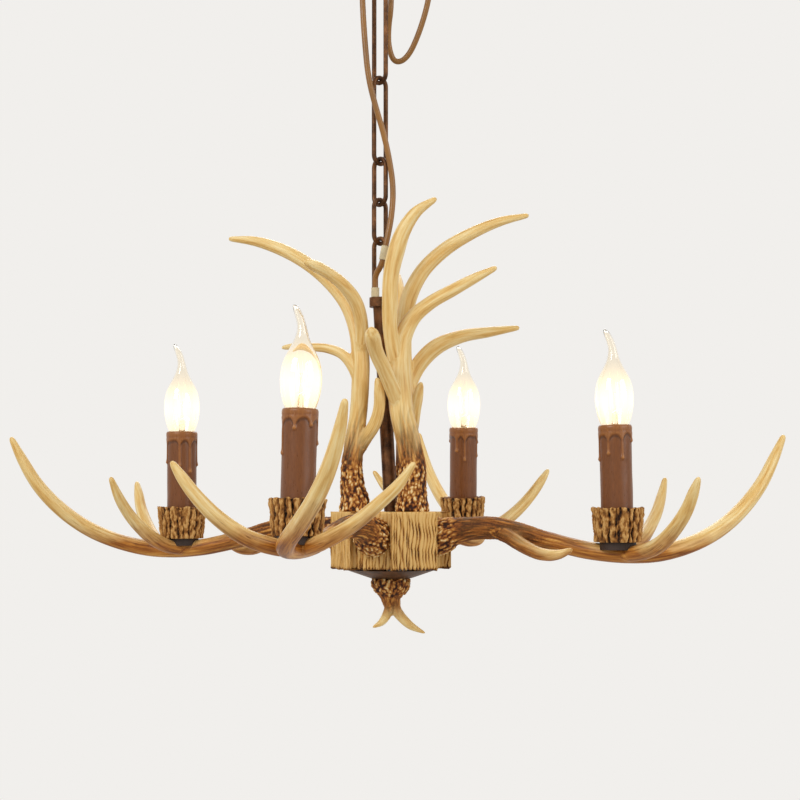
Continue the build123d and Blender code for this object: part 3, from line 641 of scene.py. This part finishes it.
# how far from the root the burr and the grooves reach, between which distances the beam pales, over how much
# of its length a tine pales, which tines stay duller, how much paler the upper side is painted as top light, how
# much prouder the pearls stand at the very root, and their size and height
antlerLooks = {
    "arm": {"burr": 24, "ridge": 120, "pale": (215, 330), "tine": 0.8, "duller": {3: 0.4}, "paintedTopLight": 0.3,
            "rosette": 0.3, "pearlSize": 3.1, "pearlHeight": 1.7},
    "crown": {"burr": 48, "ridge": 72, "pale": (20, 110), "tine": 0.6, "duller": {}, "paintedTopLight": 0.1,
              "rosette": 0.9, "pearlSize": 2.9, "pearlHeight": 1.6},
    "finial": {"burr": 20, "ridge": 28, "pale": (24, 50), "tine": 0.5, "duller": {}, "paintedTopLight": 0,
               "rosette": 0.2, "pearlSize": 3.1, "pearlHeight": 1.8}}
for number, (direction, turnIn, tilt, inwards, sideways) in enumerate(armLayout["arms"], start=1):
    makeAntler(f"armAntler{number}", armBranches, armPlace(direction, turnIn, tilt), f"arm_antler_{number}",
               number * 7.3, antlerLooks["arm"])
for seed, (side, branches) in enumerate(crownBranches.items(), start=1):
    makeAntler(f"crownAntler{side}", branches, moved(*hubTop), f"crown_antler_{side.lower()}",
               seed * 11.1, antlerLooks["crown"])
makeAntler("finialBurr", finialBranches, moved(*hubTop), "finial", 3.7, antlerLooks["finial"])
print("antlers made")

# --- hub block: a square with a notch for each arm, grooved from top to bottom
hubSettings = {"half": 52, "turn": 24.3, "height": 55, "notchHalf": 19.8, "notchFloor": 45, "cavity": 41,
               "topWall": 8, "step": 0.7, "rowStep": 1.4, "grooveSpacing": 3.3, "grooveShift": 0.9, "grooveDepth": 1.7,
               "grooveWidth": (0.55, 1.0), "smoothBand": 6, "broadWobble": 0.8, "fineWobble": 0.35,
               "cornerRound": 0.4, "rimRound": 0.7, "roundOver": 0.8, "lowerTuck": 0.6,
               "raggedEdge": 3.4, "raggedBand": 7}


def makeHub():
    s = hubSettings
    edge = s["half"] * math.sqrt(2) - s["notchHalf"]
    corner = [(edge, -s["notchHalf"]), (s["notchFloor"], -s["notchHalf"]),
              (s["notchFloor"], s["notchHalf"]), (edge, s["notchHalf"])]
    outline = []
    for k in range(4):
        a = math.radians(s["turn"] + 45 + 90 * k)
        outline += [(x * math.cos(a) - y * math.sin(a), x * math.sin(a) + y * math.cos(a)) for x, y in corner]
    outline = np.array(outline + outline[:1])
    lengths = np.linalg.norm(np.diff(outline, axis=0), axis=1)
    run = np.concatenate([[0], np.cumsum(lengths)])
    count = int(run[-1] / s["step"])
    t = np.linspace(0, run[-1], count, endpoint=False)
    line = np.stack([np.interp(t, run, outline[:, 0]), np.interp(t, run, outline[:, 1])], 1)
    side = np.clip(np.searchsorted(run, t, side="right") - 1, 0, len(lengths) - 1)
    way = np.diff(outline, axis=0)[side] / lengths[side][:, None]
    outward = np.stack([way[:, 1], -way[:, 0]], 1)
    toCorner = np.minimum(t - run[side], run[side + 1] - t)
    # where each groove runs, how wide and deep it is, how far down it begins and how it sways
    rng = np.random.default_rng(11)
    grooves = np.arange(0, run[-1], s["grooveSpacing"])
    grooves = grooves + rng.uniform(-s["grooveShift"], s["grooveShift"], len(grooves))
    width = rng.uniform(*s["grooveWidth"], len(grooves))
    depth = rng.uniform(0.7, 1.1, len(grooves))
    begin = rng.uniform(0.3, 1.4, len(grooves)) * s["smoothBand"]
    sway = rng.uniform(0, 6.28, len(grooves))
    rows = int(s["height"] / s["rowStep"])
    points, relief = [], []
    for r in range(rows + 1):
        z = -s["height"] * r / rows
        wobble = s["broadWobble"] * waves(z * 0.11 + t * 0.03, 5) + s["fineWobble"] * waves(z * 0.4 + t * 0.09, 8)
        gap = np.abs(t[:, None] + wobble[:, None] - grooves[None] - 0.5 * np.sin(z * 0.23 + sway)[None])
        gap = np.minimum(gap, run[-1] - gap)
        fade = (0.75 + 0.25 * np.sin(z * 0.3 + sway)) * np.clip((-z - begin) / 12 + 0.6, 0.35, 1)
        cut = (np.exp(-(gap / width)**2) * depth * fade).max(1)
        rounded = (np.exp(-toCorner / s["roundOver"]) * s["cornerRound"]
                   + s["rimRound"] * math.exp(-abs(z) / s["roundOver"]))
        inward = cut * s["grooveDepth"] + rounded
        if r == rows:
            inward = inward + s["lowerTuck"]
        lowerShare = max(0, 1 - (s["height"] + z) / s["raggedBand"])
        ragged = s["raggedEdge"] * (0.5 + 0.5 * waves(t * 0.8, 9)) * lowerShare
        xy = line - outward * inward[:, None]
        points += [(x, y, z + lift) for (x, y), lift in zip(xy, ragged)]
        # painted shade: the colour darkens over the last millimetres above the lower edge, as shade under the block
        relief += list(1 - cut - 0.5 * math.exp(-(s["height"] + z) / 1.2))
    # underside, cavity wall and cavity roof
    angles = fullTurn(count) + math.atan2(line[0][1], line[0][0])
    for radius, z in ((s["cavity"] + 1, -s["height"] + 1.5), (s["cavity"], -s["height"] + 2.5),
                      (s["cavity"], -s["topWall"])):
        points += ringPoints(radius, z, angles)
        relief += [0.5] * count
    faces = gridFaces(rows + 4, count)
    roof, top = len(points), len(points) + 1
    points += [(0, 0, -s["topWall"]), (0, 0, -0.2)]
    relief += [0.4, 0.9]
    last = (rows + 3) * count
    for i in range(count):
        j = (i + 1) % count
        faces.append((last + i, last + j, roof))
        faces.append((j, i, top))
    faces = [f[::-1] for f in faces]
    piece = makePiece("hubBlock", points, faces, "chandelier", moved(*hubTop), hubFinish)
    markPoints(piece, "relief", relief)
    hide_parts("hub_body")


makeHub()

# --- bark cups
cupSettings = {"radius": 24, "taper": 3.0, "bore": 17.3, "height": 32, "floor": 3, "hole": 6, "columns": 320,
               "rows": 40, "ridges": 21, "ridgeShift": 0.3, "furrow": 2.6, "furrowWidth": (0.05, 0.1), "grit": 1.3,
               "rimRound": 0.6, "rimDrop": 2.0, "rimBand": 4, "innerRim": [(1.2, -1.4), (0, -2)], "footEase": 1.4}


def makeCup(number, place):
    s = cupSettings
    rng = np.random.default_rng(40 + number)
    theta = fullTurn(s["columns"])
    shifts = rng.uniform(-s["ridgeShift"], s["ridgeShift"], s["ridges"])
    furrows = (np.arange(s["ridges"]) + shifts) * 2 * math.pi / s["ridges"]
    width = rng.uniform(*s["furrowWidth"], s["ridges"])
    depth = rng.uniform(0.45, 1.0, s["ridges"])
    phase = rng.uniform(0, 6.28, s["ridges"])
    points, relief = [], []
    for r in range(s["rows"] + 1):
        z = s["height"] * r / s["rows"]
        centres = furrows + 0.035 * np.sin(z * 0.17 + phase) + 0.02 * np.sin(z * 0.6 + 2 * phase)
        spreading = 0.7 + 0.3 * np.sin(z * 0.35 + 1.7 * phase)
        cut = (np.exp(-(anglesApart(theta, centres) / (width * spreading))**2) * depth).max(1)
        crust = np.array([noise.fractal((9 * math.cos(a), 9 * math.sin(a), z * 0.22 + 50 * number), 0.9, 2.1, 5)
                          for a in theta])
        outer = s["radius"] - s["taper"] * (1 - z / s["height"])
        rounded = s["rimRound"] if r in (0, s["rows"]) else 0
        radius = outer - s["furrow"] * cut + s["grit"] * np.clip(crust, -1, 0.7) - rounded
        upperShare = max(0, 1 - (s["height"] - z) / s["rimBand"])
        top = s["rimDrop"] * (0.5 + 0.5 * waves(theta * 7, 70 + number)) * upperShare
        points += [(q * math.cos(a), q * math.sin(a), z - d) for q, a, d in zip(radius, theta, top)]
        relief += list(np.clip(0.86 - 0.8 * cut + 0.55 * crust, 0, 1))
    inner = [(s["bore"] + out, s["height"] + up) for out, up in s["innerRim"]]
    inner += [(s["bore"], s["floor"]), (s["hole"], s["floor"]), (s["hole"], 0),
              (s["radius"] - s["taper"] - s["footEase"], 0)]
    for radius, z in inner:
        points += ringPoints(radius, z, theta)
        relief += [0.55 if z > s["floor"] else 0.3] * s["columns"]
    faces = closedBand(s["rows"] + 1 + len(inner), s["columns"])
    piece = makePiece(f"barkCup{number}", points, faces, "chandelier", place, barkFinish)
    markPoints(piece, "relief", relief)
    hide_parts(f"candle_cup_{number}")


# --- candle sleeves, moulded like dripping wax
sleeveSettings = {"radius": 14.5, "wall": 1.2, "height": 102, "low": 3.6, "columns": 180, "rowStep": 1.0,
                  "collar": 9, "arch": 5, "ring": 5.5, "proud": 1.4, "topRound": {0: 0.9, 1: 0.3}, "lipDrop": 0.4,
                  "drips": 7, "dripShift": 0.28, "shortShare": 0.3, "longDrips": (24, 44), "shortDrips": (14, 20),
                  "dripHalf": (0.085, 0.13), "bead": 2.2}


def makeSleeve(number, place):
    s = sleeveSettings
    rng = np.random.default_rng(80 + number)
    theta = fullTurn(s["columns"])
    shifts = rng.uniform(-s["dripShift"], s["dripShift"], s["drips"])
    centres = (np.arange(s["drips"]) + shifts) * 2 * math.pi / s["drips"]
    reach = np.where(rng.uniform(0, 1, s["drips"]) > s["shortShare"], rng.uniform(*s["longDrips"], s["drips"]),
                     rng.uniform(*s["shortDrips"], s["drips"]))
    half = rng.uniform(*s["dripHalf"], s["drips"])
    gap = anglesApart(theta, centres)
    rows = int(s["height"] / s["rowStep"])
    points, relief = [], []
    for r in range(rows + 1):
        down = s["height"] * (1 - r / rows)
        # each run ends in a bead
        bead = np.exp(-((down - reach + s["bead"]) / s["bead"])**2)
        along = np.clip((reach - down) / 1.6, 0, 1)
        across = np.clip(1 - (gap / (half * (1 + 0.35 * bead)))**2, 0, 1)**0.6
        drip = (across * along * (0.62 + 0.5 * bead)).max(1)
        # the collar's edge arches up between the runs, with a shallow ring above it
        line = s["collar"] + waves(theta * 2, 90 + number) + s["arch"] * np.exp(-(gap / 0.17)**2).max(1)
        collar = np.clip(line - down, 0, 1) * (1 - 0.35 * math.exp(-((down - s["ring"]) / 0.8)**2))
        raised = np.maximum(drip, 0.6 * collar)
        shadedHollow = np.exp(-((down - line - 1.2) / 1.2)**2) * (1 - raised)
        lift = s["proud"] * (raised - 0.15 * shadedHollow) + 0.12 * waves(theta * 2 + down * 0.08, 95 + number)
        # painted shade: the hollow just under the collar's edge is darkened in the colour
        relief += list(np.clip(0.45 + 0.45 * raised - 0.22 * shadedHollow, 0, 1))
        radii = s["radius"] + lift - s["topRound"].get(rows - r, 0)
        z = s["low"] + s["height"] - down
        points += [(q * math.cos(a), q * math.sin(a), z) for q, a in zip(radii, theta)]
    for z in (s["low"] + s["height"] - s["lipDrop"], s["low"]):
        points += ringPoints(s["radius"] - s["wall"], z, theta)
        relief += [0.3] * s["columns"]
    faces = closedBand(rows + 3, s["columns"])
    piece = makePiece(f"candleSleeve{number}", points, faces, "chandelier", place, waxFinish)
    markPoints(piece, "relief", relief)
    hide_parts(f"candle_sleeve_{number}")


# --- bulbs: the outline is radius and height, and the hooks and the stem are too
bulbSettings = {"low": 98.3, "height": 94, "wall": 0.8, "columns": 72, "rows": 70, "bendFrom": 70, "bend": 7.5,
                "outline": [(8.6, 0), (10, 1.5), (12.2, 6), (14.6, 13), (16.6, 22), (17.4, 31), (16.9, 39),
                            (15.2, 47), (12.2, 54), (9, 60), (6.3, 66), (4.6, 72), (3.7, 78), (3.2, 84),
                            (2.6, 88.5), (1.8, 92), (0.7, 94)],
                "glareHeight": 30, "glareReach": 19, "wire": 0.42, "spokes": 8, "hooks": ((3.6, 22), (5.2, 46)),
                "leads": ((2.0, 0, 19), (-2.0, -0.4, 19)), "stemColumns": 20,
                "stem": [(4.5, 1.2), (3.2, 8), (2.4, 16), (1.3, 20), (0.9, 36), (1.3, 37)]}


def bulbGlass():
    # Clear blown glass, thin wall, drawn out to a bent tip, with the lit wire's glare strongest round the wire
    material, add, shader = newMaterial("soda-lime glass, blown clear", {
        "Roughness": 0.0, "IOR": 1.5, "Transmission Weight": 1.0,
        "Base Color": toLinear("#fffaf0"), "Emission Color": toLinear("#ffdfa6")})
    glare = add("ShaderNodeAttribute", attribute_name="glare").outputs["Fac"]
    feed(shader, {"Emission Strength": add("ShaderNodeMath", {0: glare, 1: 0.25}, operation="MULTIPLY")})
    return material


def litTungsten():
    # Tungsten wire at full heat, yellow-white
    return newMaterial("tungsten, lit", {
        "Roughness": 0.4, "Metallic": 1.0, "Base Color": toLinear("#8d8a84"),
        "Emission Color": toLinear("#ffdc9a"), "Emission Strength": 3.0})[0]


glassFinish = bulbGlass()
glowFinish = litTungsten()


def wireTree():
    # round wire along a curve, closed at its ends
    tree, add, given = newShapeTree("wireAlongPath", {
        "Wire Radius": ("Float", 0.0003), "Sides": ("Int", 8), "Finish": ("Material", None)})
    circle = add("GeometryNodeCurvePrimitiveCircle", {"Resolution": given["Sides"], "Radius": given["Wire Radius"]})
    tube = add("GeometryNodeCurveToMesh", {"Curve": given["Geometry"], "Profile Curve": circle, "Fill Caps": True})
    smooth = add("GeometryNodeSetShadeSmooth", {"Geometry": tube})
    endShapeTree(add, smooth, given["Finish"])
    return tree


wireAlongPath = wireTree()


def curveObject(name, line, place=Matrix.Identity(4), kind="POLY"):
    # an open spline through points in millimetres
    curve = bpy.data.curves.new(name, "CURVE")
    curve.dimensions = "3D"
    spline = curve.splines.new(kind)
    spline.points.add(len(line) - 1)
    for point, spot in zip(spline.points, line):
        point.co = (*(place @ Vector(spot) * 0.001), 1)
    if kind == "NURBS":
        spline.order_u = 3
        spline.use_endpoint_u = True
    piece = bpy.data.objects.new(name, curve)
    bpy.context.scene.collection.objects.link(piece)
    return piece


def wireMesh(name, line, radius, finish, place=Matrix.Identity(4), sides=8):
    sizes = {"Wire Radius": radius * 0.001, "Sides": sides, "Finish": finish}
    return shapedMesh(curveObject(name + "Path", line, place), wireAlongPath, sizes, name)


def makeBulb(number, place):
    s = bulbSettings
    low = s["low"]
    bent = s["height"] - s["bendFrom"]
    theta = fullTurn(s["columns"])
    outline = np.array(s["outline"])
    run = np.linalg.norm(np.diff(outline, axis=0), axis=1).cumsum()[-1]
    fine, _ = smoothPath([(r, 0, z, 1) for r, z in outline], run / s["rows"])
    profile = fine[:, [0, 2]]

    def shell(shrink):
        band = []
        for r, z in profile:
            up = max(z - s["bendFrom"], 0) / bent
            off = -s["bend"] * up**2
            lean = 2 * s["bend"] * up / bent
            radius = max(r - shrink, 0.15)
            height = z + (shrink if z < 2 else 0) - (shrink if z > s["height"] - 2 else 0)
            band += [(off + radius * math.cos(a), radius * math.sin(a), low + height + radius * math.cos(a) * lean)
                     for a in theta]
        return band

    outer, inner = shell(0), shell(s["wall"])
    count = len(profile)
    points = outer + inner
    faces = gridFaces(count, s["columns"]) + gridFaces(count, s["columns"], len(outer), flip=True)
    for band, flip in ((0, False), (len(outer), True)):
        foot, tip = len(points), len(points) + 1
        base = band + (count - 1) * s["columns"]
        points.append((0, 0, low + (s["wall"] if flip else 0)))
        points.append(tuple(np.mean(points[base:base + s["columns"]], axis=0)))
        for i in range(s["columns"]):
            j = (i + 1) % s["columns"]
            lower, upper = (band + j, band + i, foot), (base + i, base + j, tip)
            faces += [lower[::-1], upper[::-1]] if flip else [lower, upper]
    glass = makePiece(f"bulbGlass{number}", points, faces, f"bulb_{number}", place, glassFinish)
    markPoints(glass, "glare", [math.exp(-((p[2] - low - s["glareHeight"]) / s["glareReach"])**2) for p in points])
    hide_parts(f"bulb_glass_{number}")
    # the wire zigzags round the stem between two leads, over nine tenths of a turn
    filament = []
    for k in range(s["spokes"] + 1):
        a = 2 * math.pi * k / s["spokes"] * 0.9
        out, up = s["hooks"][k % 2]
        filament.append((out * math.cos(a), out * math.sin(a), low + up))
    first, last = [(x, y, low + z) for x, y, z in s["leads"]]
    wire = wireMesh(f"bulbFilament{number}", [first] + filament + [last], s["wire"], glowFinish, place)
    lit = makeObject(f"bulbFilament{number}", wire, f"bulb_{number}")
    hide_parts(f"bulb_filament_{number}")
    columns = s["stemColumns"]
    stemPoints = [point for r, z in s["stem"] for point in ringPoints(r, low + z, fullTurn(columns))]
    stemFaces = gridFaces(len(s["stem"]), columns)
    stemFaces.append(tuple(range(columns - 1, -1, -1)))
    stemFaces.append(tuple(range(len(stemPoints) - columns, len(stemPoints))))
    makePiece(f"bulbStem{number}", stemPoints, stemFaces, f"bulb_{number}", place, glassFinish)


for number, (direction, turnIn, tilt, inwards, sideways) in enumerate(armLayout["arms"], start=1):
    makeCup(number, seatPlace(direction, turnIn, tilt))
    candle = candlePlace(direction, turnIn, tilt, inwards, sideways)
    makeSleeve(number, candle)
    # every bulb's tip bends the same way
    makeBulb(number, candle @ turned("Z", -direction))
print("candles made")

# --- supply cord, laced down the chain, with its slack loop above
cordSettings = {"radius": 2.75,
                "slack": [(44, 8, -36), (44, 8, -66), (50, 9, -98), (48, 13, -136), (39, 18, -168), (27, 23, -194),
                          (14, 25, -199), (8, 22, -184), (8, 17, -166), (10.6, 10.6, -150), (10.6, 10.6, -137.3)],
                "run": [(10.6, 10.6, -136.5), (10.6, 10.6, -122), (7, 16, -107), (-5, 21, -99), (-18, 11, -107),
                        (-17, -4, -128), (-16, -9, -160), (-14, -12, -190), (-11, -14, -222), (-4, -14, -250),
                        (3, -12, -272), (9, -9, -298), (13, -8, -326), (11, -10, -354), (6, -12, -378),
                        (2, -11, -398), (-4.4, -5.5, -407), (-4.4, -4.4, -416), (-4.4, -4.4, -431)],
                "lift": (-0.064, -0.118)}
slackLine = curveObject("slackLine", cordSettings["slack"], kind="NURBS")
slackLine.data.resolution_u = 16
slackPath = [tuple(v.co) for v in bakedMesh(slackLine, "slackTrace").vertices]
slackSpots = [tuple(c * 1000 for c in p) for p in slackPath]
slackMesh = wireMesh("slackCord", slackSpots, cordSettings["radius"], cordFinish, sides=20)
slack = makeObject("slackCord", slackMesh, None)
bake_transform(slack)
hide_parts("cord_slack")
run = curveObject("supplyCord", cordSettings["run"], kind="NURBS")
run.data.resolution_u = 14
run.data.bevel_depth = cordSettings["radius"] * 0.001
run.data.bevel_resolution = 5
run.data.use_fill_caps = True
run.data.materials.append(cordFinish)
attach(run, "chandelier")
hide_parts("supply_cord")
print("cord made")

# --- finishes of the nodes that keep their CAD shape
finishNodes = [
    (bronzeFinish, ["canopy", "canopy_ring_nut", "ceiling_loop", "chain_link_1", "chain_links", "stem_loop",
                    "stem_tube", "hub_cover"]),
    (zincFinish, ["ceiling_bar", "bar_nipple", "nipple_lock_nut", "stem_rod", "stem_nut", "hub_frame", "finial_nut",
                  "finial_rod", "crown_screws", "arm_screws", "holder_stalks"]),
    (nylonFinish, ["ceiling_terminal_block", "hub_terminal_block"]), (rubberFinish, ["cord_grommet"]),
    # the cup pedestals take the near-black brown of painted shade under the cups
    (shrinkFinish, ["cord_sleeves"]), (leadFinish, ["arm_wires"]), (darkFinish, ["cup_pedestals"]),
    (bakeliteFinish, [f"lamp_holder_{n}" for n in range(1, 5)]),
    (brassFinish, [f"bulb_cap_{n}" for n in range(1, 5)])]
for finish, names in finishNodes:
    for name in names:
        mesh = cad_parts[name].data
        mesh.materials.clear()
        mesh.materials.append(finish)

# --- floor, light and camera, in metres and watts
stageSettings = {"floorZ": -2.3, "floorSize": 9, "floorGlow": 0.35, "world": 0.55, "background": "#f1efec",
                 "lamps": [((-1.9, -2.1, 1.2), 1.6, 46), ((2.3, -1.6, 0.4), 1.8, 26), ((0.4, 2.3, 1.4), 1.6, 34)],
                 "lampAim": (0.01, 0, -0.55), "cameraSpot": (0.0105, -1.573, -0.620), "lens": 74.52,
                 "shift": (0.01125, 0.125)}
bpy.ops.mesh.primitive_plane_add(size=stageSettings["floorSize"], location=(0, 0, stageSettings["floorZ"]))
floor = bpy.context.object
floor.name = "floor"
# Matt paint, faintly clouded, lifted to the background's tone for the camera alone
floorFinish, add, shader = newMaterial("painted floor, pale matt", {
    "Roughness": 0.9, "Emission Color": toLinear(stageSettings["background"])})
grit = add("ShaderNodeTexNoise", {"Vector": placePattern(add), "Scale": 0.004, "Detail": 4})
clouds = add("ShaderNodeMapRange", {"Value": grit, "From Min": 0.4, "From Max": 0.6})
paint = add("ShaderNodeMix", {0: clouds, 6: toLinear("#d6d3ce"), 7: toLinear("#dcd9d4")}, data_type="RGBA")
cameraRay = add("ShaderNodeLightPath").outputs["Is Camera Ray"]
glow = add("ShaderNodeMath", {0: cameraRay, 1: stageSettings["floorGlow"]}, operation="MULTIPLY")
feed(shader, {"Base Color": paint, "Emission Strength": glow})
floor.data.materials.append(floorFinish)
world = bpy.data.worlds.new("studio")
bpy.context.scene.world = world
world.use_nodes = True
add = partial(addNode, world.node_tree)
light = world.node_tree.nodes["Background"]
feed(light, {"Color": (1, 1, 1, 1), "Strength": stageSettings["world"]})
seen = add("ShaderNodeBackground", {"Color": toLinear(stageSettings["background"]), "Strength": 1.0})
rays = add("ShaderNodeLightPath").outputs
through = add("ShaderNodeMath", {0: rays["Is Transmission Ray"], 1: rays["Is Glossy Ray"]}, operation="MAXIMUM")
direct = add("ShaderNodeMath", {0: rays["Is Camera Ray"], 1: through}, operation="MAXIMUM")
both = add("ShaderNodeMixShader", {0: direct, 1: light, 2: seen})
feed(world.node_tree.nodes["World Output"], {"Surface": both})
for number, (spot, size, power) in enumerate(stageSettings["lamps"], start=1):
    softbox = bpy.data.lights.new(f"softbox{number}", "AREA")
    softbox.size = size
    softbox.energy = power
    lamp = bpy.data.objects.new(f"softbox{number}", softbox)
    bpy.context.scene.collection.objects.link(lamp)
    lamp.location = spot
    aim = Vector(stageSettings["lampAim"]) - Vector(spot)
    lamp.rotation_euler = aim.to_track_quat("-Z", "Y").to_euler()
cameraData = bpy.data.cameras.new("camera")
cameraData.sensor_width = 36
cameraData.lens = stageSettings["lens"]
cameraData.shift_x, cameraData.shift_y = stageSettings["shift"]
camera = bpy.data.objects.new("camera", cameraData)
bpy.context.scene.collection.objects.link(camera)
camera.location = stageSettings["cameraSpot"]
camera.rotation_euler = (math.pi / 2, 0, 0)
bpy.context.scene.camera = camera
bpy.context.scene.view_settings.view_transform = "Standard"
bpy.context.view_layer.update()
print("stage set")
